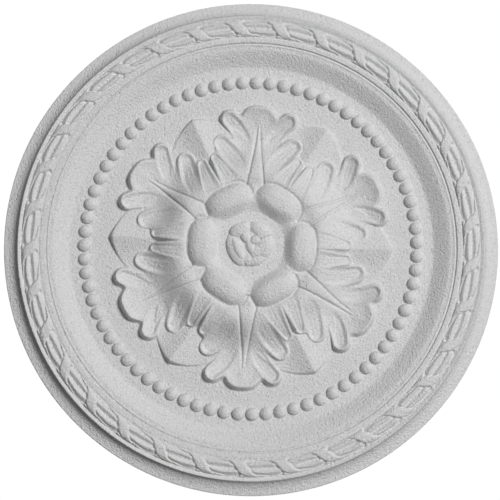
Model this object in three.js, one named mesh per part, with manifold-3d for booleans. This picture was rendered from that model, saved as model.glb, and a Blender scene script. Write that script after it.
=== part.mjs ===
// Ceiling rose, 400 mm across, moulded in one piece of white polystyrene foam.
// The flat back is glued to the ceiling at z = 0 and the ornament hangs below it, towards -Z.
// The ornament is worked out in relief space: x to the right and y up as the rose is read
// from below, z out of the ceiling towards the reader. The last group turns it over.
// Lengths are millimetres, angles are degrees counter-clockwise in relief space.

import * as THREE from 'three';
import { mergeVertices } from 'three/addons/utils/BufferGeometryUtils.js';
import Module from 'manifold-3d';

// Driving dimensions of the turned ground, from the outer edge to the middle.
const roseDiameter = 400;
const edgeThickness = 4.4;
const lipWidth = 1.6;
const cavettoWidth = 8.8;
const cavettoRise = 6.2;
const outerFilletWidth = 2.6;
const filletHeight = 14;
const ropeGrooveWidth = 1.4;
const ropeGrooveHeight = 12.4;
const ropeWidth = 11;
const ropeRise = 3.6;
const quirkWidth = 1.8;
const innerFilletWidth = 2.2;
const fineGrooveWidth = 2.2;
const fineGrooveDepth = 1.2;
const ringRidgeWidth = 2.2;
const shelfWidth = 2.6;
const coveWidth = 18;
const fieldHeight = 5;
const groundSides = 56;

// Ring of beads on the field.
const beadRingInset = 3.9;
const beadDiameter = 11.2;
const beadPitch = 11.28;
const beadHeight = 4.4;

// Reed and ribbon on the rope moulding.
const ropePitch = 34;
const ribbonWidth = 7.5;
const ribbonSweep = 17;
const ribbonProud = 1;
const reedProud = 1.1;

// Six acanthus leaves and the six plain leaves behind them.
const leafCount = 6;
const leafTurn = 26.3;
const leafReach = 115;
const leafMoundHeight = 14.8;
const leafLow = 2.2;
const leafTipLift = 4.5;
const midribWidth = 12;
const midribProud = 1;
const backLeafTurn = -3.7;
const backLeafReach = 113;
const backLeafEdge = 1.6;
const backLeafRidge = 4.8;

// Flower of six cushioned petals round a bowl, with a bud of curled lobes in it.
const flowerShift = new THREE.Vector2(0.2, 2.4);
const petalCount = 6;
const petalTurn = -3;
const petalInner = 25.5;
const petalOuter = 51;
const petalLength = 40;
const petalHeight = 28;
const bowlHeight = 18.5;
const budShift = new THREE.Vector2(-1.4, 0);
const budRadius = 19;
const budHeight = 5;

// How deep every ornament is rooted in the ground, above the flat back.
const rootHeight = 1.5;

const degrees = Math.PI / 180;
const roseRadius = roseDiameter / 2;

const library = await Module();
library.setup();

// A closed three.js geometry as a solid that can be joined. Points that fall together are
// merged, and the triangles that this closes up are dropped.
function solidOf(geometry) {
  const bare = geometry.clone();
  bare.deleteAttribute('normal');
  bare.deleteAttribute('uv');
  const merged = mergeVertices(bare, 1e-4);
  const corners = merged.index.array;
  const kept = [];
  for (let i = 0; i < corners.length; i += 3) {
    const [a, b, c] = [corners[i], corners[i + 1], corners[i + 2]];
    if (a !== b && b !== c && c !== a) kept.push(a, b, c);
  }
  return new library.Manifold(new library.Mesh({
    numProp: 3,
    vertProperties: new Float32Array(merged.attributes.position.array),
    triVerts: new Uint32Array(kept),
  }));
}

function geometryOf(solid) {
  const mesh = solid.getMesh();
  const geometry = new THREE.BufferGeometry();
  geometry.setAttribute('position', new THREE.BufferAttribute(mesh.vertProperties, 3));
  geometry.setIndex(new THREE.BufferAttribute(mesh.triVerts, 1));
  geometry.computeVertexNormals();
  return geometry;
}

function smoothStep(value) {
  const x = THREE.MathUtils.clamp(value, 0, 1);
  return x * x * x * (x * (6 * x - 15) + 10);
}

// A block whose top is the surface point(a, b), with a and b from 0 to 1, whose sides drop
// straight down and whose underside is flat at rootHeight. point(a, b) runs so that turning
// from a to b is counter-clockwise.
function reliefBlock(steps, rows, point) {
  const places = [];
  const faces = [];
  const across = rows + 1;
  const layer = (steps + 1) * across;
  for (const level of [0, 1]) {
    for (let i = 0; i <= steps; i++) {
      for (let j = 0; j <= rows; j++) {
        const top = point(i / steps, j / rows);
        places.push(top.x, top.y, level ? top.z : rootHeight);
      }
    }
  }
  const quad = (a, b, c, d) => faces.push(a, b, c, a, c, d);
  for (let i = 0; i < steps; i++) {
    for (let j = 0; j < rows; j++) {
      const at = i * across + j;
      quad(at + layer, at + across + layer, at + across + 1 + layer, at + 1 + layer);
      quad(at, at + 1, at + across + 1, at + across);
    }
  }
  const rim = [];
  for (let i = 0; i < steps; i++) rim.push(i * across);
  for (let j = 0; j < rows; j++) rim.push(steps * across + j);
  for (let i = steps; i > 0; i--) rim.push(i * across + rows);
  for (let j = rows; j > 0; j--) rim.push(j);
  rim.forEach((here, i) => {
    const next = rim[(i + 1) % rim.length];
    quad(here, next, next + layer, here + layer);
  });
  const geometry = new THREE.BufferGeometry();
  geometry.setAttribute('position', new THREE.Float32BufferAttribute(places, 3));
  geometry.setIndex(faces);
  return geometry;
}

// A closed ring of the same kind. point(column, row) gives a place on its top, with the
// columns running counter-clockwise and the rows running inwards.
function reliefRing(columns, rows, point) {
  const places = [];
  const faces = [];
  const across = rows + 1;
  const layer = columns * across;
  for (const level of [0, 1]) {
    for (let i = 0; i < columns; i++) {
      for (let j = 0; j <= rows; j++) {
        const top = point(i, j);
        places.push(top.x, top.y, level ? top.z : rootHeight);
      }
    }
  }
  const quad = (a, b, c, d) => faces.push(a, b, c, a, c, d);
  for (let i = 0; i < columns; i++) {
    const here = i * across;
    const next = ((i + 1) % columns) * across;
    for (let j = 0; j < rows; j++) {
      quad(here + j + layer, next + j + layer, next + j + 1 + layer, here + j + 1 + layer);
      quad(here + j, here + j + 1, next + j + 1, next + j);
    }
    quad(here, next, next + layer, here + layer);
    quad(next + rows, here + rows, here + rows + layer, next + rows + layer);
  }
  const geometry = new THREE.BufferGeometry();
  geometry.setAttribute('position', new THREE.Float32BufferAttribute(places, 3));
  geometry.setIndex(faces);
  return geometry;
}

// A low dome on an oval base, with its centre at the origin of relief space.
function ovalDome(halfLength, halfWidth, base, rise, sides, rings) {
  const outline = [new THREE.Vector2(0, rootHeight), new THREE.Vector2(1, rootHeight)];
  for (let i = 0; i < rings; i++) {
    const lift = (i / rings) * 90 * degrees;
    outline.push(new THREE.Vector2(Math.cos(lift), base + rise * Math.sin(lift)));
  }
  outline.push(new THREE.Vector2(0, base + rise));
  const dome = new THREE.LatheGeometry(outline, sides);
  dome.rotateX(Math.PI / 2);
  dome.scale(halfLength, halfWidth, 1);
  return dome;
}

function turned(geometry, angle) {
  return geometry.clone().rotateZ(angle * degrees);
}

// Copies of a shape round the middle of the rose.
function ring(geometry, count, start = 0) {
  const copies = [];
  for (let i = 0; i < count; i++) {
    copies.push(solidOf(turned(geometry, start + (i * 360) / count)));
  }
  return copies;
}

// Radii of the turned ground, each worked out from the one outside it.
const cavettoStart = roseRadius - lipWidth;
const cavettoEnd = cavettoStart - cavettoWidth;
const outerFilletEnd = cavettoEnd - lipWidth - outerFilletWidth;
const ropeOuter = outerFilletEnd - ropeGrooveWidth;
const ropeMiddle = ropeOuter - ropeWidth / 2;
const ropeInner = ropeOuter - ropeWidth;
const innerFilletStart = ropeInner - quirkWidth;
const fineGrooveStart = innerFilletStart - innerFilletWidth;
const ringRidgeStart = fineGrooveStart - fineGrooveWidth;
const shelfStart = ringRidgeStart - ringRidgeWidth;
const coveStart = shelfStart - shelfWidth;
const coveEnd = coveStart - coveWidth;
const beadRingRadius = coveEnd - beadRingInset - beadDiameter / 2;

function turnedGround() {
  const profile = [[0, 0], [roseRadius, 0], [roseRadius, edgeThickness]];
  const cavettoFoot = edgeThickness + 0.5;
  for (let i = 0; i <= 3; i++) {
    const x = i / 3;
    profile.push([cavettoStart - cavettoWidth * x, cavettoFoot + cavettoRise * x ** 1.7]);
  }
  profile.push([cavettoEnd - lipWidth, filletHeight]);
  profile.push([outerFilletEnd, filletHeight]);
  profile.push([ropeOuter + 0.4, ropeGrooveHeight]);
  profile.push([ropeInner - 0.4, ropeGrooveHeight]);
  profile.push([innerFilletStart, filletHeight]);
  profile.push([fineGrooveStart, filletHeight]);
  profile.push([fineGrooveStart - fineGrooveWidth / 2, filletHeight - fineGrooveDepth]);
  profile.push([ringRidgeStart - ringRidgeWidth / 2, filletHeight]);
  for (let i = 0; i <= 4; i++) {
    const x = i / 4;
    const fall = smoothStep(x ** 0.8);
    profile.push([coveStart - coveWidth * x, filletHeight - (filletHeight - fieldHeight) * fall]);
  }
  profile.push([0, fieldHeight]);
  const points = profile.map(([radius, height]) => new THREE.Vector2(radius, height));
  const ground = new THREE.LatheGeometry(points, groundSides);
  ground.rotateX(Math.PI / 2);
  return solidOf(ground);
}

function beadRing() {
  const count = Math.round((2 * Math.PI * beadRingRadius) / beadPitch);
  const bead = ovalDome(beadDiameter / 2, beadDiameter / 2, fieldHeight - 0.4, beadHeight, 6, 2);
  bead.translate(beadRingRadius, 0, 0);
  return ring(bead, count);
}

// The rope is a half-round band. At each pitch a ribbon crosses it in a lazy S, from its inner
// edge to its outer edge, and two slender reeds fill the lens between two ribbons.
function ropeBand() {
  const count = Math.round((2 * Math.PI * ropeMiddle) / ropePitch);
  const ribbonShare = ribbonWidth / ropePitch;
  const stops = [0, ribbonShare / 2, ribbonShare, 0.62];
  const rows = [0, 0.26, 0.74, 1];
  return reliefRing(count * stops.length, rows.length - 1, (column, row) => {
    const pitch = Math.floor(column / stops.length);
    const phase = stops[column % stops.length];
    const across = rows[row];
    const edge = 2 * across - 1;
    const onRibbon = phase === stops[1];
    const onReed = phase > ribbonShare && Math.abs(edge) < 1;
    const proud = onRibbon ? ribbonProud : onReed ? reedProud : 0;
    const sweep = ribbonSweep * (0.5 - smoothStep(across));
    const angle = ((pitch + phase) * ropePitch + sweep) / ropeMiddle;
    const fitted = angle * ((2 * Math.PI * ropeMiddle) / (count * ropePitch));
    const radius = ropeOuter - ropeWidth * across;
    const round = Math.abs(edge) < 1 ? Math.sqrt(1 - edge * edge) * ropeRise + proud : -0.5;
    const height = ropeGrooveHeight + round;
    return new THREE.Vector3(radius * Math.cos(fitted), radius * Math.sin(fitted), height);
  });
}

// Height of an acanthus leaf above the field: high at the flower, down to its lowest at four
// fifths of its reach, and up again into the curled tip. Each half also rises a little away
// from the midrib near the flower.
function leafHeight(along, aside) {
  const out = Math.hypot(along, aside) / leafReach;
  const fall = 1 - smoothStep((out - 0.43) / 0.37);
  const lift = smoothStep((out - 0.8) / 0.17);
  const trough = 0.1 * Math.abs(aside) * (1 - smoothStep((out - 0.5) / 0.25));
  return fieldHeight + leafLow + leafMoundHeight * fall + leafTipLift * lift + trough;
}

// The fingers on each side of a leaf, from the flower outwards: where a finger's end is
// centred along and beside the midrib, its half width, the way it points, how much it curls
// up, and the bottom of the notch beyond it. All lengths are shares of the leaf's reach.
const leafFingers = [
  { centre: [0.61, 0.315], half: 0.048, points: 46, curl: 0.022, notch: [0.675, 0.265] },
  { centre: [0.746, 0.279], half: 0.06, points: 50, curl: 0.032, notch: [0.735, 0.145] },
  { centre: [0.912, 0.219], half: 0.056, points: 40, curl: 0.008, notch: [0.93, 0.112] },
];
const leafBase = [[0.42, 0.17], [0.49, 0.225]];
const leafTip = { centre: 0.9, half: 0.12, length: 0.1 };

// The edge of half a leaf, from the flower to the tip. Each point has the share of the leaf
// where its crease leaves the midrib, its curl and how far its crease sinks.
function leafEdge() {
  const edge = leafBase.map(([along, aside]) => ({ along, aside, curl: 0, sunk: 0 }));
  for (const { centre, half, points, curl, notch } of leafFingers) {
    for (const turn of [85, 0, -85]) {
      const way = (points + turn) * degrees;
      edge.push({
        along: centre[0] + half * Math.cos(way),
        aside: centre[1] + half * Math.sin(way),
        curl,
        sunk: 0,
      });
    }
    edge.push({ along: notch[0], aside: notch[1], curl: 0, sunk: 0.008 });
  }
  for (const turn of [52, 0]) {
    edge.push({
      along: leafTip.centre + leafTip.length * Math.cos(turn * degrees),
      aside: leafTip.half * Math.sin(turn * degrees),
      curl: 0,
      sunk: 0,
    });
  }
  return edge;
}

function leafHalf(side) {
  const edge = leafEdge();
  const last = edge.length - 1;
  return reliefBlock(last, 2, (a, b) => {
    const step = Math.round(a * last);
    const { along, aside, curl, sunk } = edge[step];
    const share = side > 0 ? b : 1 - b;
    const spine = 0.4 + 0.53 * (step / last);
    const x = leafReach * (spine + (along - spine) * share);
    const y = leafReach * side * aside * share;
    const lift = leafReach * (curl * share ** 3 - sunk * Math.sin(share * Math.PI * 0.6));
    return new THREE.Vector3(x, y, leafHeight(x, y) + lift);
  });
}

function leafMidrib() {
  return reliefBlock(3, 2, (a, b) => {
    const along = leafReach * (0.41 + 0.47 * a);
    const edge = 2 * b - 1;
    const aside = edge * (midribWidth / 2) * (1 - a);
    const proud = midribProud * (1 - 0.4 * edge * edge);
    return new THREE.Vector3(along, aside, leafHeight(along, 0) + proud);
  });
}

function acanthusLeaves() {
  const leaf = solidOf(leafHalf(1)).add(solidOf(leafHalf(-1))).add(solidOf(leafMidrib()));
  return [...Array(leafCount).keys()].map((i) => {
    return leaf.rotate([0, 0, leafTurn + (i * 360) / leafCount]);
  });
}

// A plain leaf behind the gap between two acanthus leaves: a broad blunt end with a ridge
// along its middle, and a round stem that climbs to the flower.
function backLeafEnd() {
  return reliefBlock(2, 4, (a, b) => {
    const edge = 2 * b - 1;
    const round = 1 - 0.07 * edge * edge - 0.08 * edge ** 4;
    const outer = backLeafReach * round;
    const inner = backLeafReach * 0.66;
    const along = inner + (outer - inner) * a;
    const aside = backLeafReach * 0.25 * edge * (0.6 + 0.4 * a);
    const ridge = backLeafRidge * (1 - Math.abs(edge));
    return new THREE.Vector3(along, aside, fieldHeight + backLeafEdge + ridge);
  });
}

function backLeafStem() {
  return reliefBlock(3, 2, (a, b) => {
    const along = backLeafReach * (0.42 + 0.34 * a);
    const edge = 2 * b - 1;
    const aside = edge * backLeafReach * 0.055;
    const drop = leafMoundHeight * 0.8 * (1 - smoothStep(a));
    return new THREE.Vector3(along, aside, fieldHeight + 3 + drop - 2 * edge * edge);
  });
}

function backLeaves() {
  return [backLeafEnd(), backLeafStem()].flatMap((shape) => ring(shape, leafCount, backLeafTurn));
}

// One petal is a cushion with round corners, highest along a crest near its middle. It falls
// steeply into the bowl on its inner side.
function petal() {
  const middle = (petalInner + petalOuter) / 2;
  const halfDepth = (petalOuter - petalInner) / 2;
  return reliefBlock(4, 5, (a, b) => {
    const out = 2 * a - 1;
    const side = Math.sin((2 * b - 1) * 90 * degrees);
    const pinch = 1 - 0.12 * (1 - a);
    const corner = Math.sqrt(1 - 0.55 * side ** 6);
    const along = middle + halfDepth * out * corner;
    const aside = (petalLength / 2) * side * pinch * (1 - 0.16 * Math.abs(out) ** 3);
    const inward = smoothStep((a - 0.02) / 0.42);
    const outward = 1 - 0.25 * smoothStep((a - 0.55) / 0.45);
    const ends = 1 - 0.28 * Math.abs(side) ** 5;
    const rise = (petalHeight - bowlHeight) * inward * outward * ends;
    return new THREE.Vector3(along, aside, bowlHeight + rise);
  });
}

// Lobes of the bud: angle and distance from its centre, half length, half width and the
// angle of the long side, with the lengths as shares of the bud's radius.
const budLobes = [
  { angle: 4, out: 0.56, length: 0.5, width: 0.44, turn: 80 },
  { angle: 60, out: 0.68, length: 0.42, width: 0.3, turn: 155 },
  { angle: 122, out: 0.66, length: 0.42, width: 0.3, turn: 30 },
  { angle: 199, out: 0.56, length: 0.74, width: 0.36, turn: 112 },
  { angle: 292, out: 0.6, length: 0.5, width: 0.3, turn: 15 },
];

function flower() {
  const bowl = ovalDome(petalInner + 3, petalInner + 3, bowlHeight - 1, 1, 18, 1);
  const heart = ovalDome(budRadius * 0.5, budRadius * 0.5, bowlHeight, budHeight * 0.8, 8, 2);
  const lobes = budLobes.map(({ angle, out, length, width, turn }) => {
    const lobe = ovalDome(budRadius * length, budRadius * width, bowlHeight, budHeight, 8, 2);
    const place = new THREE.Vector2(out * budRadius, 0).rotateAround(
      new THREE.Vector2(), angle * degrees);
    return turned(lobe, turn).translate(place.x, place.y, 0);
  });
  const bud = [heart, ...lobes].map((shape) => shape.translate(budShift.x, budShift.y, 0));
  const petals = [];
  for (let i = 0; i < petalCount; i++) {
    petals.push(turned(petal(), petalTurn + (i * 360) / petalCount));
  }
  return [bowl, ...petals, ...bud].map((shape) => {
    return solidOf(shape.clone().translate(flowerShift.x, flowerShift.y, 0));
  });
}

// The rose is one casting, so every form is joined to the turned ground.
let casting = turnedGround();
const forms = [
  ...beadRing(),
  solidOf(ropeBand()),
  ...backLeaves(),
  ...acanthusLeaves(),
  ...flower(),
];
for (const form of forms) casting = casting.add(form);

const foam = new THREE.MeshStandardMaterial({ color: 0xd9dad9, roughness: 0.85, metalness: 0 });
const rose = new THREE.Mesh(geometryOf(casting), foam);
rose.name = 'ceiling_rose';
rose.rotation.x = Math.PI;

const ceilingRose = new THREE.Group();
ceilingRose.add(rose);

export default ceilingRose;
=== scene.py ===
"""A moulded foam ceiling rose: its fine relief, its finish, and the light and camera.

The relief is worked out in millimetres as the rose is read from below: x to the right,
y up and z out of the ceiling towards the reader. TO_ROOM turns it over, face down under
the ceiling, and brings it to metres.
"""

import math

import bmesh
import bpy
import numpy as np
from mathutils import Matrix, Vector, noise


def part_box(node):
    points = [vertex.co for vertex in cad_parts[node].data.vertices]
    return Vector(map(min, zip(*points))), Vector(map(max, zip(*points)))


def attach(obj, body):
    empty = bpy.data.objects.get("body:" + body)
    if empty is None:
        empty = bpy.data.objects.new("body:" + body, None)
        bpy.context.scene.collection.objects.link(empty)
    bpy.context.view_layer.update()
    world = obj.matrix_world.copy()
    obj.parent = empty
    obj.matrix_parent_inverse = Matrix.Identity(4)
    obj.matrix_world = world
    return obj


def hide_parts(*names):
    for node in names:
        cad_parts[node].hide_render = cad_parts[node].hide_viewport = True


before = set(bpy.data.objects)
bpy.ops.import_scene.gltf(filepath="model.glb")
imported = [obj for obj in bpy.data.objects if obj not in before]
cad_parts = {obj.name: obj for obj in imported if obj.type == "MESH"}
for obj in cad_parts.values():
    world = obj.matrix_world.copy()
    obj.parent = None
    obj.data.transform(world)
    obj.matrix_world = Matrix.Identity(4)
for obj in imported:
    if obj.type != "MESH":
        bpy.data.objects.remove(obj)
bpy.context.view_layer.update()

NODE = "ceiling_rose"
BODY = "root"
MM = 0.001
TO_ROOM = Matrix.Rotation(math.pi, 4, "X") @ Matrix.Scale(MM, 4)

low_corner, high_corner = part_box(NODE)
ROSE_RADIUS = (high_corner.x - low_corner.x) / 2 / MM
ROSE_DEPTH = (high_corner.z - low_corner.z) / MM

# Turned ground, from the outer edge inwards: radii and heights in millimetres.
EDGE_INSET = 0.02
EDGE_THICKNESS = 5.0
EDGE_CHAMFER = 0.5
EDGE_ROUND = 0.9
EDGE_ROUND_DROP = 0.6
LIP_INNER = 196.6
LIP_RISE = 0.7
CAVETTO_RADIUS = 11.8
CAVETTO_SLOPES = (12.0, 52.0)
CAVETTO_STEPS = 14
FILLET_HEIGHT = 14.0
FILLET_ROUND = 0.9
FILLET_OUTER = 188.3
FILLET_INNER = 187.2
ROPE_OUTER = 185.2
ROPE_INNER = 170.5
ROPE_OUTER_FLOOR = 12.6
ROPE_INNER_FLOOR = 13.6
ROPE_SEAT = 1.2
ROPE_RISE = 3.5
INNER_FILLET = (169.9, 166.1)
INNER_FILLET_ROUNDS = (1.2, 0.4)
FINE_GROOVE_BOTTOM = 165.4
FINE_GROOVE_DEPTH = 1.7
RIDGE = (164.4, 163.5)
RIDGE_ROUND = 0.6
RIDGE_DROP = 0.8
SHELF = 162.8
SHELF_STEP = 1.3
ROLL_START = 161.4
COVE_END = 144.2
COVE_STEPS = 28
FIELD = 5.0
FIELD_STEP = 1.0
SHEET_RIM = 118.0
GROUND_STEPS = 480
CREASE_ANGLE = 32

# Ring of beads. BEAD_PHASE is a share of a pitch and BEAD_SWELL a share of a bead's size.
BEAD_COUNT = 75
BEAD_RING = 134.6
BEAD_RADIUS = 5.4
BEAD_RISE = 4.8
BEAD_PHASE = 0.35
BEAD_SWELL = 0.03
BEAD_STRAY = 0.25
BEAD_ROOT = 0.6

# Corners this near each other are one, a leaf that doesn't reach a place lies far below it,
# and a leaf's sides fall this steeply.
MERGE_DISTANCE = 1e-4
FAR_BELOW = -40.0
SIDE_SLOPE = 3.0


def smooth(value):
    """An S curve from 0 to 1."""
    share = np.clip(value, 0.0, 1.0)
    return share * share * (3.0 - 2.0 * share)


def joined(first, second, width):
    """The higher of two surfaces, with the corner between them filled over width."""
    share = np.clip(0.5 + 0.5 * (first - second) / width, 0.0, 1.0)
    return second + (first - second) * share + width * share * (1.0 - share)


def shape(bm, move):
    """Moves every vertex by move(x, y, z), which takes and gives whole arrays."""
    places = np.array([vert.co for vert in bm.verts]).T
    moved = np.stack(np.broadcast_arrays(*move(*places)), axis=1)
    for vert, place in zip(bm.verts, moved):
        vert.co = place


def polar_sheet(inner, outer, start, end, rows, columns):
    """An open sheet from radius inner to outer and from angle start to end, in radians."""
    bm = bmesh.new()
    bmesh.ops.create_grid(bm, x_segments=rows, y_segments=columns, size=0.5)

    def bend(x, y, z):
        radius = inner + (x + 0.5) * (outer - inner)
        angle = start + (y + 0.5) * (end - start)
        return radius * np.cos(angle), radius * np.sin(angle), z

    shape(bm, bend)
    return bm


def ring_sheet(inner, outer, rows, columns):
    """A sheet all the way round, joined where its ends meet."""
    bm = polar_sheet(inner, outer, 0.0, math.tau, rows, columns)
    bmesh.ops.remove_doubles(bm, verts=bm.verts, dist=MERGE_DISTANCE)
    return bm


def lift(bm, height):
    """Raises a flat sheet to height(x, y)."""
    shape(bm, lambda x, y, z: (x, y, height(x, y)))


def closed_below(bm, depth):
    """Gives an open sheet straight sides and a flat underside at depth."""
    for face in bm.faces:
        face.smooth = True
    rim = [edge for edge in bm.edges if edge.is_boundary]
    for edge in rim:
        edge.smooth = False
    walls = bmesh.ops.extrude_edge_only(bm, edges=rim)["geom"]
    for item in walls:
        if isinstance(item, bmesh.types.BMVert):
            item.co.z = depth
    hem = [item for item in walls if isinstance(item, bmesh.types.BMEdge) and item.is_boundary]
    for edge in hem:
        edge.smooth = False
    loops = count_loops(hem)
    if loops == 1:
        bmesh.ops.holes_fill(bm, edges=hem, sides=0)
    else:
        bmesh.ops.bridge_loops(bm, edges=hem)
    bmesh.ops.recalc_face_normals(bm, faces=bm.faces)


def count_loops(edges):
    """How many separate loops the edges make."""
    left = set(edges)
    loops = 0
    while left:
        loops += 1
        reached = [left.pop()]
        while reached:
            edge = reached.pop()
            for vert in edge.verts:
                for other in vert.link_edges:
                    if other in left:
                        left.remove(other)
                        reached.append(other)
    return loops


def piece(bm, name, material):
    """Turns a finished relief into an object that rides on the rose."""
    bm.transform(TO_ROOM)
    mesh = bpy.data.meshes.new(name)
    bm.to_mesh(mesh)
    bm.free()
    mesh.materials.append(material)
    made = bpy.data.objects.new(name, mesh)
    bpy.context.scene.collection.objects.link(made)
    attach(made, BODY)
    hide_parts(NODE)


# Turned ground.

def arc(centre, radius, start, end, steps):
    """Points of an arc in the profile, angles in degrees."""
    angles = [math.radians(start + (end - start) * i / steps) for i in range(steps + 1)]
    return [(centre[0] + radius * math.cos(a), centre[1] + radius * math.sin(a)) for a in angles]


def cavetto_profile():
    """The hollow under the outer edge, an arc that steepens towards the middle."""
    first, last = CAVETTO_SLOPES
    foot = EDGE_THICKNESS + LIP_RISE + CAVETTO_RADIUS * math.cos(math.radians(first))
    middle = (LIP_INNER + CAVETTO_RADIUS * math.sin(math.radians(first)), foot)
    return arc(middle, CAVETTO_RADIUS, 270 - first, 270 - last, CAVETTO_STEPS)


def cove_profile():
    """The broad slope from the shelf down to the field: a roll, a straight and a hollow."""
    top = FILLET_HEIGHT - SHELF_STEP
    width = ROLL_START - COVE_END
    points = []
    for i in range(COVE_STEPS + 1):
        x = i / COVE_STEPS
        straight = min(1.0, max(0.0, (x - 0.06) / 0.74))
        fall = min(1.02 * (smooth(x) * 0.45 + 0.55 * straight), 1.0)
        points.append((ROLL_START - width * x, top - (top - FIELD) * fall))
    points[-1] = (COVE_END, FIELD)
    return points


def ground_profile():
    """Radius and height of each corner of the turned ground, from the middle of the back."""
    edge = ROSE_RADIUS - EDGE_INSET
    top = FILLET_HEIGHT
    seat = ROPE_OUTER_FLOOR - ROPE_SEAT
    outer_round, inner_round = INNER_FILLET_ROUNDS
    ridge_centre = top - RIDGE_DROP - RIDGE_ROUND
    profile = [(0.0, 0.0), (edge - EDGE_CHAMFER, 0.0), (edge, EDGE_CHAMFER)]
    profile += arc((edge - EDGE_ROUND, EDGE_THICKNESS - EDGE_ROUND_DROP), EDGE_ROUND, 0, 90, 4)
    profile += cavetto_profile()
    profile += [(FILLET_OUTER + 0.1, top - 1.1)]
    profile += arc((FILLET_OUTER - FILLET_ROUND, top - FILLET_ROUND), FILLET_ROUND, 10, 90, 5)
    profile += [(FILLET_INNER, top - 0.05), (ROPE_OUTER + 0.2, ROPE_OUTER_FLOOR + 0.2)]
    profile += [(ROPE_OUTER, ROPE_OUTER_FLOOR), (ROPE_OUTER, seat)]
    profile += [(ROPE_INNER, seat), (ROPE_INNER, ROPE_INNER_FLOOR)]
    profile += arc((INNER_FILLET[0] - 0.6, top - outer_round), outer_round, 68, 90, 3)
    profile += arc((INNER_FILLET[1] + inner_round, top - inner_round), inner_round, 90, 170, 3)
    profile += [(FINE_GROOVE_BOTTOM, top - FINE_GROOVE_DEPTH)]
    profile += arc((RIDGE[0] - RIDGE_ROUND, ridge_centre), RIDGE_ROUND, 50, 90, 3)
    profile += arc((RIDGE[1] + RIDGE_ROUND, ridge_centre), RIDGE_ROUND, 90, 140, 3)
    profile += [(SHELF, top - SHELF_STEP)]
    profile += cove_profile()
    profile += [(SHEET_RIM, FIELD), (SHEET_RIM, FIELD - FIELD_STEP), (0.0, FIELD - FIELD_STEP)]
    return profile


def make_ground(material):
    """One turned body: edge, cavetto, fillets, seat of the rope, cove and field."""
    bm = bmesh.new()
    line = [bm.verts.new((radius, 0.0, height)) for radius, height in ground_profile()]
    edges = [bm.edges.new(pair) for pair in zip(line, line[1:])]
    bmesh.ops.spin(
        bm,
        geom=line + edges,
        cent=(0, 0, 0),
        axis=(0, 0, 1),
        angle=math.tau,
        steps=GROUND_STEPS,
        use_merge=True,
    )
    bmesh.ops.remove_doubles(bm, verts=bm.verts, dist=MERGE_DISTANCE)
    bmesh.ops.recalc_face_normals(bm, faces=bm.faces)
    for face in bm.faces:
        face.smooth = True
    for edge in bm.edges:
        if len(edge.link_faces) == 2 and edge.calc_face_angle() > math.radians(CREASE_ANGLE):
            edge.smooth = False
    piece(bm, "turned_ground", material)


def make_beads(material):
    """Half-round beads on the field, each a little unlike the next."""
    bm = bmesh.new()
    for number in range(BEAD_COUNT):
        angle = math.tau * (number + BEAD_PHASE) / BEAD_COUNT
        swell = 1.0 + BEAD_SWELL * noise.noise(Vector((number * 1.7, 0.3, 0.9)))
        made = bmesh.ops.create_uvsphere(bm, u_segments=20, v_segments=12, radius=BEAD_RADIUS)
        verts = made["verts"]
        low = [vert for vert in verts if vert.co.z < -0.01]
        bmesh.ops.delete(bm, geom=low, context="VERTS")
        verts = [vert for vert in verts if vert.is_valid]
        bmesh.ops.scale(bm, vec=(swell, swell, BEAD_RISE / BEAD_RADIUS * swell), verts=verts)
        out = BEAD_RING + BEAD_STRAY * noise.noise(Vector((number * 2.3, 4.1, 0.2)))
        spot = Vector((out * math.cos(angle), out * math.sin(angle), FIELD))
        bmesh.ops.translate(bm, vec=spot, verts=verts)
    closed_below(bm, FIELD - BEAD_ROOT)
    piece(bm, "bead_ring", material)


# Acanthus leaves. Each finger of a leaf is a bent stroke from the midrib to its round end.

LEAF_COUNT = 6
LEAF_STEP = 360 / LEAF_COUNT
LEAF_TURN = 26.3
LEAF_SPREAD = 36
LEAF_REACH = 115.0
LEAF_SCALE = 0.982
EDGE_ROLL = 1.8
EDGE_ROLL_DEPTH = 1.0
SHEET_INNER = 37.0
SHEET_ROWS = 158
SECTOR_COLUMNS = 240
ROOT_DEPTH = 3.2

STROKE_STATIONS = 30

# Root, bend and end of each stroke beside the midrib, its half widths at those places, how
# much its end curls up and how deep it is scooped.
FINGERS = (
    ((38.0, 12.0), (57.0, 21.5), (71.0, 34.0), (12.0, 9.0, 3.8), 4.0, 3.0),
    ((52.0, 6.0), (70.0, 15.0), (84.0, 29.6), (10.0, 10.2, 7.0), 3.2, 3.0),
    ((76.0, 3.0), (92.0, 10.0), (104.4, 24.4), (8.0, 8.0, 6.5), 1.6, 3.2),
    ((78.0, 0.0), (94.0, 1.5), (103.8, 3.6), (6.0, 9.0, 11.0), 0.4, 1.2),
    ((40.0, 0.0), (72.0, 0.0), (103.4, 0.0), (16.0, 13.0, 11.6), 0.0, 0.0),
)
FOLD_DEPTH = 0.3
FINGER_BLEND = 1.15
FINGER_WEB = 5.0

BLADE_FLOOR = 2.0
MOUND_HEIGHT = 15.7
TIP_LIFT = 5.6
GUTTER_DEPTH = 1.7

MIDRIB_END = 105.0
MIDRIB_HALF_WIDTH = 6.0
MIDRIB_GROOVE = 1.7
MIDRIB_GROOVE_WIDTH = 1.0
MIDRIB_CROWN = 0.8
TROUGH_SLOPE = 0.11
TROUGH_RISE = 1.6


def stroke(root, bend, end, widths):
    """Centres and half widths along a bent stroke."""
    stations = []
    for i in range(STROKE_STATIONS):
        t = i / (STROKE_STATIONS - 1)
        weights = ((1 - t) ** 2, 2 * t * (1 - t), t * t)
        x = sum(w * p[0] for w, p in zip(weights, (root, bend, end)))
        y = sum(w * p[1] for w, p in zip(weights, (root, bend, end)))
        half = sum(w * p for w, p in zip(weights, widths))
        stations.append((x, y, half, t))
    return stations


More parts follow.
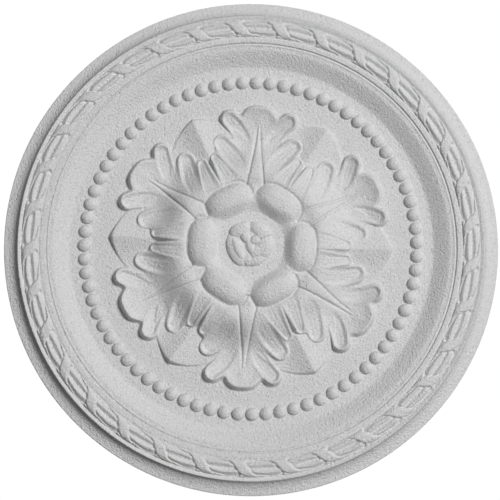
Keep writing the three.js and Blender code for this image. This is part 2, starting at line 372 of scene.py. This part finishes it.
def inside(x, y, stations):
    """How far a point lies inside a stroke, its share of the half width and of the length."""
    best = np.full(x.shape, -1e3)
    half = np.ones(x.shape)
    along = np.zeros(x.shape)
    for centre_x, centre_y, radius, t in stations:
        depth = radius - np.hypot(x - centre_x, y - centre_y)
        nearer = depth > best
        best = np.where(nearer, depth, best)
        half = np.where(nearer, radius, half)
        along = np.where(nearer, t, along)
    return best, half, along


def long_curve(value):
    """An S curve from 0 to 1 with softer ends than smooth."""
    x = np.clip(value, 0.0, 1.0)
    return x * x * x * (x * (6.0 * x - 15.0) + 10.0)


def blade_height(radius):
    """Height of a leaf above the field: a mound at the flower, a dip and a lifted tip."""
    share = radius / LEAF_REACH
    mound = MOUND_HEIGHT * (1.0 - long_curve((share - 0.485) / 0.31))
    gutter = GUTTER_DEPTH * (1.0 - smooth((radius - 49.0) / 9.0))
    lift_share = np.clip((share - 0.8) / 0.2, 0.0, 1.0)
    return BLADE_FLOOR + mound + TIP_LIFT * lift_share**2.2 - gutter


def fingers(along, beside):
    """How far each point lies inside the leaf, and the relief of its fingers there."""
    depth = np.full(along.shape, FAR_BELOW)
    total = np.full(along.shape, 1e-9)
    relief = np.zeros(along.shape)
    for root, bend, end, widths, rise, hollow in FINGERS:
        reach, half, way = inside(along, beside, stroke(root, bend, end, widths))
        share = np.clip(reach / half, 0.0, 1.0)
        fold = FOLD_DEPTH * min(rise / 1.5, 1.0) * np.sin(share * 3.0 * math.pi)
        scoop = (hollow * (1.0 - (1.0 - share) ** 2) - fold) * smooth((way - 0.15) * 1.8)
        weight = np.exp(np.clip(reach, -30.0, 12.0) / FINGER_BLEND)
        relief += weight * (rise * smooth((way - 0.45) / 0.55) - scoop)
        total += weight
        depth = joined(reach, depth, FINGER_WEB)
    return depth, relief / total


def midrib(along, beside, radius):
    """The tapering midrib, a groove on each side and the trough that it lies in."""
    rib = MIDRIB_HALF_WIDTH * np.clip((MIDRIB_END - along) / 52.0, 0.0, 1.3) ** 1.4
    rib += 0.1 + 0.6 * np.clip((MIDRIB_END + 1.0 - along) / 6.0, 0.0, 1.0)
    gap = beside - rib
    trough = TROUGH_SLOPE * np.maximum(gap, 0.0) * (1.0 - smooth((radius - 58.0) / 34.0))
    groove = MIDRIB_GROOVE * np.clip((MIDRIB_END - along) / 30.0, 0.0, 1.0) ** 0.5
    groove = groove * np.exp(-((gap / MIDRIB_GROOVE_WIDTH) ** 2))
    crown = MIDRIB_CROWN * np.clip(1.0 - (beside / rib) ** 2, 0.0, 1.0)
    crown = crown * np.clip(rib / 3.0, 0.0, 1.0)
    return np.minimum(trough, TROUGH_RISE) - groove + crown


def acanthus_height(along, aside):
    """Relief of one leaf in its own axes. Outside its edge the surface drops away."""
    beside = np.abs(aside)
    radius = np.hypot(along, beside)
    depth, relief = fingers(along, beside)
    height = FIELD + blade_height(radius) + relief
    height += midrib(along, beside, radius)
    edge = np.clip(depth, 0.0, EDGE_ROLL) / EDGE_ROLL
    height -= EDGE_ROLL_DEPTH * (1.0 - edge) ** 2
    return np.maximum(height + np.minimum(depth, 0.0) * SIDE_SLOPE, 0.0)


# Back leaves: a broad end of two facets, and a round stem that climbs to the flower.

BACK_AXES = (-1.2, 57.0, 114.8, 175.5, 234.6, 297.0)
BACK_SPREAD = 34
BACK_REACH = 115.0
BACK_RIDGE = 6.6
BACK_FACET_SLOPE = 0.34
BACK_FOOT = 1.2
BACK_ROLL = 1.6
BACK_ROLL_DEPTH = 0.7
STEM_RISE = 3.6
STEM_CLIMB = 13.0
STEM_HALF_WIDTH = 6.0
STEM_ROUND = 3.2
STEM_END = 92.0


def back_leaf_height(along, aside):
    """Relief of one back leaf in its own axes, with its stem."""
    off = np.abs(np.degrees(np.arctan2(aside, along)))
    radius = np.hypot(along, aside)
    depth = BACK_REACH - 0.4 * off - 0.03 * off * off - radius
    facets = BACK_RIDGE - BACK_FACET_SLOPE * np.hypot(aside, 0.7)
    facets = joined(facets, np.full(aside.shape, BACK_FOOT), 2.5)
    edge = np.clip(depth, 0.0, BACK_ROLL) / BACK_ROLL
    top = FIELD + facets - BACK_ROLL_DEPTH * (1.0 - edge) ** 2
    top = top + np.minimum(depth, 0.0) * SIDE_SLOPE
    climb = STEM_CLIMB * (1.0 - long_curve((radius - 52.0) / 36.0))
    stem = FIELD + STEM_RISE + climb - STEM_ROUND * (aside / STEM_HALF_WIDTH) ** 2
    stem = np.where(radius > STEM_END, 0.0, stem)
    return joined(top, stem, 0.8)


def turned_axes(x, y, angle):
    """Places along and beside an axis that is turned by angle, in degrees."""
    turn = math.radians(angle)
    along = x * math.cos(turn) + y * math.sin(turn)
    aside = y * math.cos(turn) - x * math.sin(turn)
    return along, aside


def leaf_sheet_height(x, y):
    """The leaves and the field round them."""
    seam = petal_seam(x, y)
    x, y = x / LEAF_SCALE, y / LEAF_SCALE
    height = np.full(x.shape, FAR_BELOW)
    for axis in BACK_AXES:
        along, aside = turned_axes(x, y, axis)
        near = np.abs(np.arctan2(aside, along)) < math.radians(BACK_SPREAD)
        made = np.where(near, back_leaf_height(along, aside), FAR_BELOW)
        height = np.maximum(height, made)
    for number in range(LEAF_COUNT):
        along, aside = turned_axes(x, y, LEAF_TURN + number * LEAF_STEP)
        near = np.abs(np.arctan2(aside, along)) < math.radians(LEAF_SPREAD)
        made = np.full(x.shape, FAR_BELOW)
        made[near] = acanthus_height(along[near], aside[near])
        height = joined(made, height, 0.7)
    height = joined(height, np.full(x.shape, FIELD), 0.8) - seam
    rim = np.hypot(x, y) * LEAF_SCALE
    return np.where(rim > SHEET_RIM - 1.0, FIELD, height)


def make_leaves(material):
    """Six sectors, each with one acanthus leaf and what lies round it."""
    for number in range(LEAF_COUNT):
        start = math.radians(LEAF_TURN - LEAF_STEP / 2 + number * LEAF_STEP)
        end = start + math.radians(LEAF_STEP)
        bm = polar_sheet(SHEET_INNER, SHEET_RIM, start, end, SHEET_ROWS, SECTOR_COLUMNS)
        lift(bm, leaf_sheet_height)
        closed_below(bm, ROOT_DEPTH)
        piece(bm, f"acanthus_leaf_{number + 1}", material)


# Flower: six cushioned petals round a smooth bowl, with a bud in it.

FLOWER_CENTRE = Vector((0.2, 0.7))
PETAL_COUNT = 6
PETAL_STEP = 360 / PETAL_COUNT
PETAL_TURN = -3.0
PETAL_CREST = ROSE_DEPTH - 0.05
PETAL_FOOT = 15.5
PETAL_CREST_RING = 38.4
PETAL_HALF_WIDTH = 14.0
PETAL_HALF_LENGTH = 20.5
PETAL_CORNER = 2.6
PETAL_SHEET = (12.0, 54.5)
PETAL_ROWS = 96
PETAL_COLUMNS = 660
SEAM_DEPTH = 1.4
SEAM_PLACE = 0.98
SEAM_WIDTH = 0.065
BOWL_FLOOR = 18.5
CREASE_FILL = 3.4
BUD_CENTRE = Vector((-1.4, 1.0))
BUD_RADIUS = 18.9
BUD_ROWS = 72
BUD_COLUMNS = 300


def petal_axes(x, y):
    """Each petal's own axes: out from the flower's middle, and side along its length."""
    for number in range(PETAL_COUNT):
        yield turned_axes(x, y, PETAL_TURN + number * PETAL_STEP)


def petal_reach(out, side):
    """Shares of a petal's half width and half length, and of both: 1 is its edge."""
    across = (out - PETAL_CREST_RING) / PETAL_HALF_WIDTH
    length = np.abs(side) / PETAL_HALF_LENGTH
    reach = (np.abs(across) ** PETAL_CORNER + length**PETAL_CORNER) ** (1.0 / PETAL_CORNER)
    return across, length, reach


def petal_height(out, side):
    """One petal, steep at its edge but a long slope on the side of the bowl."""
    across, length, reach = petal_reach(out, side)
    reach = np.minimum(reach, 1.0)
    cushion = np.sqrt(1.0 - reach**3)
    slope = np.cos(reach * math.pi / 2)
    facing = smooth(-across * 1.5) * (1.0 - np.minimum(length, 1.0) ** 2)
    return PETAL_FOOT + (PETAL_CREST - PETAL_FOOT) * (cushion + (slope - cushion) * facing)


def petal_seam(x, y):
    """Depth of the fine groove in the leaves along the edges of the petals."""
    far = 9.0
    nearest = np.full(x.shape, far)
    for out, side in petal_axes(x - FLOWER_CENTRE.x, y - FLOWER_CENTRE.y):
        reach = petal_reach(out, side)[-1]
        nearest = np.minimum(nearest, np.where(out > 0, reach, far))
    return SEAM_DEPTH * np.exp(-(((nearest - SEAM_PLACE) / SEAM_WIDTH) ** 2))


def flower_height(x, y):
    """The petals, and the bowl that fills the creases between them."""
    height = np.zeros(x.shape)
    for out, side in petal_axes(x, y):
        made = np.where(out > 0, petal_height(out, side), 0.0)
        height = joined(made, height, 0.6)
    radius = np.hypot(x, y)
    bowl = BOWL_FLOOR + CREASE_FILL * smooth((radius - 26.0) / 10.0)
    bowl = bowl - 5.0 * smooth((radius - 39.0) / 7.0)
    bowl = np.where(radius < 46.0, bowl, 0.0)
    return np.maximum(joined(height, bowl, 1.2), ROOT_DEPTH + 0.5)


def make_petals(material):
    bm = ring_sheet(*PETAL_SHEET, PETAL_ROWS, PETAL_COLUMNS)
    lift(bm, flower_height)
    bmesh.ops.translate(bm, vec=(FLOWER_CENTRE.x, FLOWER_CENTRE.y, 0.0), verts=bm.verts)
    closed_below(bm, ROOT_DEPTH)
    piece(bm, "petal_ring", material)


# Place of each lobe from the bud's middle, half length, half width, turn of its long side and
# height over the bowl. Each lobe swells by LOBE_SWELL at its ends and sides and in height.
LOBE_SWELL = (0.4, 0.7, 0.7)
BUD_LOBES = (
    (-7.4, 11.0, 8.8, 5.2, 23, 4.2),
    (7.0, 11.8, 7.2, 4.8, -23, 4.1),
    (-10.4, -5.2, 12.8, 6.2, 113, 3.4),
    (-9.4, -4.4, 10.2, 3.4, 113, 4.9),
    (11.8, -2.6, 9.6, 6.6, 75, 4.3),
    (10.6, 6.4, 7.4, 2.8, 14, 4.6),
    (-3.0, 4.6, 6.2, 3.4, 128, 4.7),
    (0.8, -3.0, 6.2, 3.2, 112, 4.5),
    (4.4, 2.6, 5.0, 3.4, 30, 5.0),
    (6.0, -6.2, 6.8, 4.8, 42, 4.1),
    (6.4, -13.0, 7.6, 3.6, 22, 3.0),
    (-1.2, -12.6, 5.0, 3.8, 90, 2.7),
)


def bud_height(x, y):
    """A low dome with the lobes on it."""
    longer, wider, higher = LOBE_SWELL
    radius = np.hypot(x, y) / BUD_RADIUS
    dome = BOWL_FLOOR - 0.6 + 3.2 * np.sqrt(np.clip(1.0 - radius**4, 0.0, 1.0))
    height = np.where(radius > 1.0, BOWL_FLOOR - 1.5, dome)
    for middle_x, middle_y, half_length, half_width, turn, rise in BUD_LOBES:
        along, aside = turned_axes(x - middle_x, y - middle_y, turn)
        reach = np.hypot(along / (half_length + longer), aside / (half_width + wider))
        lobe = BOWL_FLOOR + higher + rise * np.sqrt(np.clip(1.0 - reach**2.6, 0.0, 1.0))
        height = np.maximum(np.where(reach < 1.0, lobe, 0.0), height)
    return height


def make_bud(material):
    bm = ring_sheet(0.0, BUD_RADIUS + 0.6, BUD_ROWS, BUD_COLUMNS)
    lift(bm, bud_height)
    middle = FLOWER_CENTRE + BUD_CENTRE
    bmesh.ops.translate(bm, vec=(middle.x, middle.y, 0.0), verts=bm.verts)
    closed_below(bm, ROOT_DEPTH)
    piece(bm, "bud", material)


# Rope moulding: ribbons in a lazy S across a half-round band, and reeds in the eyes between
# them. Places along the rope are shares of one repeat, and places across it run from -1 to 1.

ROPE_PITCHES = 33
ROPE_PHASE = 0.0475
ROPE_COLUMNS = 60
ROPE_ROWS = 40
ROPE_ROOT = 1.6
RIBBON_HALF_WIDTH = 0.135
EYE_HALF_LENGTH = 0.34
EYE_TAPER = 0.35
EYE_DEPTH = 0.4
REED_DEPTH = 2.1
RIBBON_GROOVE = 1.2


def rope_height(x, y):
    """The rope, where place is 0 in the middle of a ribbon and 0.5 in the middle of an eye."""
    radius = np.hypot(x, y)
    middle = (ROPE_OUTER + ROPE_INNER) / 2
    half = (ROPE_OUTER - ROPE_INNER) / 2 - 0.5
    edge = np.clip((radius - middle) / half, -1.0, 1.0)
    phase = np.arctan2(y, x) / math.tau * ROPE_PITCHES - ROPE_PHASE
    sweep = 0.15 * edge + 0.16 * edge**5
    place = np.abs((phase - sweep) % 1.0 - 0.5)
    floor = ROPE_INNER_FLOOR + (ROPE_OUTER_FLOOR - ROPE_INNER_FLOOR) * (edge + 1.0) / 2.0
    round_band = np.sqrt(np.clip(1.0 - np.abs(edge) ** 3.2, 0.0, 1.0))
    from_eye = np.clip((0.5 - place) / EYE_HALF_LENGTH, 0.0, 1.0)
    across = edge / (1.0 - EYE_TAPER * from_eye**2)
    reeds = 0.5 - 0.5 * np.cos(np.clip(across, -1.0, 1.0) * math.tau)
    eye = smooth((place - RIBBON_HALF_WIDTH) / 0.06) * (1.0 - smooth((np.abs(across) - 0.95) / 0.15))
    groove = np.exp(-(((place - RIBBON_HALF_WIDTH - 0.03) / 0.035) ** 2))
    cut = eye * (EYE_DEPTH + REED_DEPTH * (1.0 - reeds)) + RIBBON_GROOVE * groove
    band = floor - 0.3 + (ROPE_RISE + 0.3) * round_band
    return band - cut * np.clip(round_band * 1.4, 0.0, 1.0)


def make_rope(material):
    bm = ring_sheet(ROPE_INNER, ROPE_OUTER, ROPE_ROWS, ROPE_PITCHES * ROPE_COLUMNS)
    lift(bm, rope_height)
    closed_below(bm, ROPE_OUTER_FLOOR - ROPE_ROOT)
    piece(bm, "rope_moulding", material)


# Foam finish. Scales are cells to a metre, and the vents' sizes are in metres.

FOAM_WHITE = (0.85, 0.855, 0.85, 1.0)
BLACK = (0.0, 0.0, 0.0, 1.0)
FUSED_BEADS = 380.0
PITS = 300.0
GRAIN = 520.0
FINE_GRAIN = 1050.0
GRAIN_HEIGHT = 5.0
SEAM_HEIGHT = 0.9
PIT_HEIGHT = 1.1
VENT_HEIGHT = 2.0
RELIEF_DEPTH = 0.0006
RELIEF_STRENGTH = 0.6
VENT_SPACING = 0.045
VENT_RADIUS = 0.0055
VENT_SLOT = 0.0022
VENT_REACH = 0.178


class Field:
    """A shader socket that takes part in Python arithmetic."""

    def __init__(self, nodes, socket):
        self.nodes = nodes
        self.socket = socket

    def math(self, operation, *others, clamp=False):
        settings = {"operation": operation, "use_clamp": clamp}
        return self.nodes.make("ShaderNodeMath", settings, [self, *others])

    def __add__(self, other):
        return self.math("ADD", other)

    def __mul__(self, other):
        return self.math("MULTIPLY", other)

    def __sub__(self, other):
        return self.math("SUBTRACT", other)

    def __rsub__(self, other):
        return self.nodes.make("ShaderNodeMath", {"operation": "SUBTRACT"}, [other, self])

    __radd__ = __add__
    __rmul__ = __mul__


class Nodes:
    """The nodes of one material."""

    def __init__(self, tree):
        self.tree = tree

    def make(self, kind, settings=(), values=(), output=0):
        node = self.tree.nodes.new(kind)
        for name, value in dict(settings).items():
            setattr(node, name, value)
        pairs = values.items() if isinstance(values, dict) else enumerate(values)
        for key, value in pairs:
            if isinstance(value, Field):
                self.tree.links.new(value.socket, node.inputs[key])
            else:
                node.inputs[key].default_value = value
        return Field(self, node.outputs[output])

    def spread(self, value, low, high, first, last):
        """Maps low to high onto first to last, and holds the ends."""
        return self.make("ShaderNodeMapRange", {}, [value, low, high, first, last])


def vent_marks(nodes, place):
    """1 where the mould's slotted steam vents pressed rings and bars into the back."""
    axes = [nodes.make("ShaderNodeSeparateXYZ", {}, [place], output=i) for i in range(3)]
    x, y, z = axes
    spot = [(axis * (1.0 / VENT_SPACING)).math("FRACT") - 0.5 for axis in (x, y)]
    away = (spot[0] * spot[0] + spot[1] * spot[1]).math("SQRT") * VENT_SPACING
    ring = nodes.spread((away - VENT_RADIUS).math("ABSOLUTE"), 0.0003, 0.0007, 1.0, 0.0)
    bars = nodes.spread((x * (math.tau / VENT_SLOT)).math("SINE"), 0.2, 0.7, 0.0, 1.0)
    bars = bars * nodes.spread(away, VENT_RADIUS - 0.0012, VENT_RADIUS - 0.0007, 1.0, 0.0)
    reach = (x * x + y * y).math("SQRT")
    on_back = nodes.spread(z, -0.0004, -0.0002, 0.0, 1.0)
    on_back = on_back * nodes.spread(reach, VENT_REACH, VENT_REACH + 0.0002, 1.0, 0.0)
    return (ring + bars) * on_back


def foam_material():
    """White foam: fused beads with faint seam grooves, small pitted hollows and grain, with painted
    shade that darkens the base colour in the seam grooves and pitted hollows.
    """
    material = bpy.data.materials.new("white_foam")
    material.use_nodes = True
    tree = material.node_tree
    shader = tree.nodes["Principled BSDF"]
    nodes = Nodes(tree)
    place = nodes.make("ShaderNodeTexCoord", output="Object")
    beads = nodes.make(
        "ShaderNodeTexVoronoi",
        {"feature": "DISTANCE_TO_EDGE"},
        {"Vector": place, "Scale": FUSED_BEADS},
    )
    # The seam grooves and pitted hollows shape the bumps and also carry painted shade into the base
    # colour.
    seam_grooves_and_shade = nodes.spread(beads, 0.0, 0.14, 0.0, 1.0)
    spots = nodes.make("ShaderNodeTexVoronoi", {}, {"Vector": place, "Scale": PITS})
    pit_hollows_and_shade = nodes.spread(spots, 0.12, 0.3, 0.0, 1.0)
    grain = nodes.make(
        "ShaderNodeTexNoise",
        {},
        {"Vector": place, "Scale": GRAIN, "Detail": 4.0, "Roughness": 0.75},
    )
    height = grain * GRAIN_HEIGHT + seam_grooves_and_shade * SEAM_HEIGHT + pit_hollows_and_shade * PIT_HEIGHT
    height = height - vent_marks(nodes, place) * VENT_HEIGHT
    fine = nodes.make(
        "ShaderNodeTexNoise",
        {},
        {"Vector": place, "Scale": FINE_GRAIN, "Detail": 1.0},
    )
    # Painted shade: the base colour darkens in the seam grooves between fused beads and in the
    # pitted hollows, where shade falls; the fine grain varies the tone at random.
    shade = nodes.spread(seam_grooves_and_shade, 0.0, 1.0, 0.9, 1.0) * nodes.spread(pit_hollows_and_shade, 0.0, 1.0, 0.86, 1.0)
    shade = shade * nodes.spread(fine, 0.3, 0.7, 0.93, 1.05)
    white_with_painted_shade = nodes.make(
        "ShaderNodeMix",
        {"data_type": "RGBA"},
        {0: shade, 6: BLACK, 7: FOAM_WHITE},
        output=2,
    )
    bump = nodes.make(
        "ShaderNodeBump",
        {},
        {"Strength": RELIEF_STRENGTH, "Distance": RELIEF_DEPTH, "Height": height},
    )
    tree.links.new(white_with_painted_shade.socket, shader.inputs["Base Color"])
    tree.links.new(bump.socket, shader.inputs["Normal"])
    shader.inputs["Roughness"].default_value = 0.85
    shader.inputs["Specular IOR Level"].default_value = 0.25
    return material


# Room: floor, light and camera.

KEY_TO = Vector((0.48, -0.224, -0.848))
KEY_DISTANCE = 5.0
KEY_SIZE = 1.3
KEY_WATTS = 205.0
SKY_FROM = (1.2, -1.4, 2.0)
SKY_STRENGTH = 3.4
SKY_ANGLE = 12
WHITE = (1.0, 1.0, 1.0, 1.0)
WALL_LIGHT = 0.1
WALL_SEEN = 0.92
CAMERA_DISTANCE = 1.5
CAMERA_TILT = 5.0
SENSOR_WIDTH = 36.0
FRAME_WIDTH = 0.4060
CAMERA_SHIFT = (-0.00084, -0.00183)
FLOOR_DROP = 4.6
FLOOR_REACH = 40.0
FLOOR_COLOUR = (0.9, 0.9, 0.9, 1.0)


def floor_material():
    material = bpy.data.materials.new("pale_floor")
    material.use_nodes = True
    shader = material.node_tree.nodes["Principled BSDF"]
    shader.inputs["Base Color"].default_value = FLOOR_COLOUR
    shader.inputs["Roughness"].default_value = 0.9
    return material


def make_floor():
    """A pale floor far below, which only the camera sees."""
    bm = bmesh.new()
    bmesh.ops.create_grid(bm, x_segments=1, y_segments=1, size=FLOOR_REACH)
    bmesh.ops.translate(bm, vec=(0, 0, -FLOOR_DROP), verts=bm.verts)
    mesh = bpy.data.meshes.new("floor")
    bm.to_mesh(mesh)
    bm.free()
    mesh.materials.append(floor_material())
    floor = bpy.data.objects.new("floor", mesh)
    bpy.context.scene.collection.objects.link(floor)
    floor.visible_shadow = False
    floor.visible_diffuse = False
    floor.visible_glossy = False


def aim(obj, towards):
    """Turns a light to face a point."""
    obj.rotation_euler = (towards - obj.location).to_track_quat("-Z", "Y").to_euler()


def make_lights():
    """The key from below at the photo's upper right, and daylight on the back."""
    key = bpy.data.lights.new("key", "AREA")
    key.shape = "DISK"
    key.size = KEY_SIZE
    key.energy = KEY_WATTS
    lamp = bpy.data.objects.new("key", key)
    lamp.location = KEY_TO.normalized() * KEY_DISTANCE
    aim(lamp, Vector((0, 0, 0)))
    lamp.visible_camera = False
    bpy.context.scene.collection.objects.link(lamp)
    top = bpy.data.lights.new("sky", "SUN")
    top.energy = SKY_STRENGTH
    top.angle = math.radians(SKY_ANGLE)
    sky = bpy.data.objects.new("sky", top)
    sky.location = SKY_FROM
    aim(sky, Vector((0, 0, 0)))
    bpy.context.scene.collection.objects.link(sky)


def make_world():
    """White all round: bright to the camera, but faint as a light."""
    world = bpy.data.worlds.new("studio")
    bpy.context.scene.world = world
    world.use_nodes = True
    nodes = Nodes(world.node_tree)
    path = nodes.make("ShaderNodeLightPath", output="Is Camera Ray")
    strength = path * WALL_SEEN + WALL_LIGHT
    back = world.node_tree.nodes["Background"]
    back.inputs["Color"].default_value = WHITE
    world.node_tree.links.new(strength.socket, back.inputs["Strength"])


def make_camera():
    """Below the rose, and tilted a little as in the photo."""
    data = bpy.data.cameras.new("camera")
    data.sensor_width = SENSOR_WIDTH
    data.lens = SENSOR_WIDTH * CAMERA_DISTANCE / FRAME_WIDTH
    camera = bpy.data.objects.new("camera", data)
    tilt = math.radians(CAMERA_TILT)
    spot = Vector((0, CAMERA_DISTANCE * math.sin(tilt), -CAMERA_DISTANCE * math.cos(tilt)))
    view = -spot.normalized()
    right = Vector((1, 0, 0))
    up = right.cross(view)
    camera.location = spot + CAMERA_SHIFT[0] * right + CAMERA_SHIFT[1] * up
    camera.rotation_euler = Matrix((right, up, -view)).transposed().to_euler()
    bpy.context.scene.collection.objects.link(camera)
    bpy.context.scene.camera = camera


foam = foam_material()
make_ground(foam)
make_beads(foam)
make_leaves(foam)
make_petals(foam)
make_bud(foam)
make_rope(foam)
make_floor()
make_lights()
make_world()
make_camera()
bpy.context.scene.view_settings.view_transform = "Standard"
